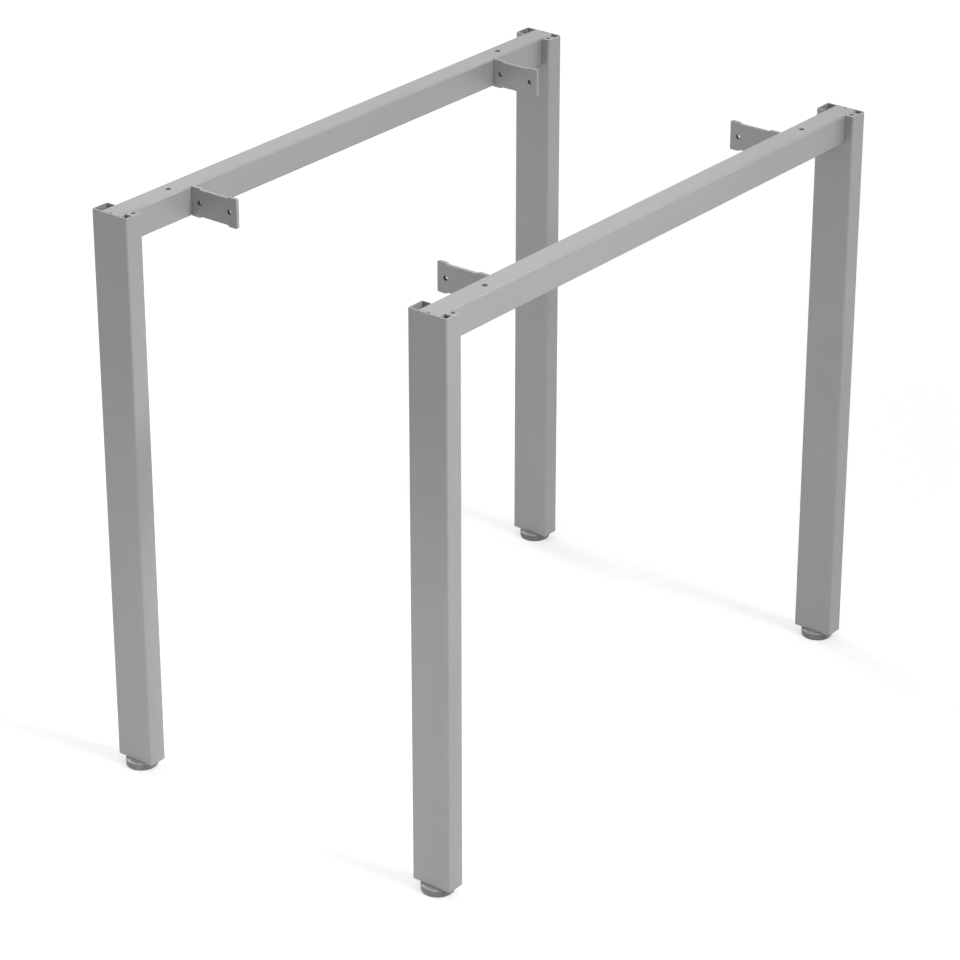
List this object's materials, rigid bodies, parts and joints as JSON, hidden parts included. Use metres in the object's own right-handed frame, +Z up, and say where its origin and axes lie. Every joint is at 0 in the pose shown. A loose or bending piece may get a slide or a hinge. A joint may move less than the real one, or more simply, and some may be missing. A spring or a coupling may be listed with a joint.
{
  "type": "steel table base",
  "caption": "Steel table base: inverted-U end frames of rectangular tube with drilled beam tongues, table-top screw holes and screw-in levelling feet.",
  "frame": {"origin": "on the floor, at the middle of the base, halfway between the two end frames", "axes": "+X from the left end frame to the right one, +Y from the front legs to the rear legs, +Z up"},
  "size_m": [0.508, 0.814, 0.711],
  "materials": {
    "powder_coated_steel": "silver-grey satin powder coat",
    "foot_plastic": "moulded grey plastic",
    "zinc_plated_steel": "bright zinc plate"
  },
  "bodies": {
    "frames": {"left_crossbar": "powder_coated_steel", "right_crossbar": "powder_coated_steel", "left_front_leg": "powder_coated_steel", "left_front_tongue": "powder_coated_steel", "left_front_tab": "powder_coated_steel", "left_front_end_plate": "powder_coated_steel", "left_rear_leg": "powder_coated_steel", "left_rear_tongue": "powder_coated_steel", "left_rear_tab": "powder_coated_steel", "left_rear_end_plate": "powder_coated_steel", "right_front_leg": "powder_coated_steel", "right_front_tongue": "powder_coated_steel", "right_front_tab": "powder_coated_steel", "right_front_end_plate": "powder_coated_steel", "right_rear_leg": "powder_coated_steel", "right_rear_tongue": "powder_coated_steel", "right_rear_tab": "powder_coated_steel", "right_rear_end_plate": "powder_coated_steel"},
    "left_front_foot": {"left_front_foot_pad": "foot_plastic", "left_front_foot_stud": "zinc_plated_steel"},
    "left_rear_foot": {"left_rear_foot_pad": "foot_plastic", "left_rear_foot_stud": "zinc_plated_steel"},
    "right_front_foot": {"right_front_foot_pad": "foot_plastic", "right_front_foot_stud": "zinc_plated_steel"},
    "right_rear_foot": {"right_rear_foot_pad": "foot_plastic", "right_rear_foot_stud": "zinc_plated_steel"}
  },
  "joints": [
    {"name": "left_front_foot_screw", "type": "slide", "parent": "frames", "child": "left_front_foot", "axis": [0, 0, -1], "range_m": [0, 0.012]},
    {"name": "left_rear_foot_screw", "type": "slide", "parent": "frames", "child": "left_rear_foot", "axis": [0, 0, -1], "range_m": [0, 0.012]},
    {"name": "right_front_foot_screw", "type": "slide", "parent": "frames", "child": "right_front_foot", "axis": [0, 0, -1], "range_m": [0, 0.012]},
    {"name": "right_rear_foot_screw", "type": "slide", "parent": "frames", "child": "right_rear_foot", "axis": [0, 0, -1], "range_m": [0, 0.012]}
  ]
}
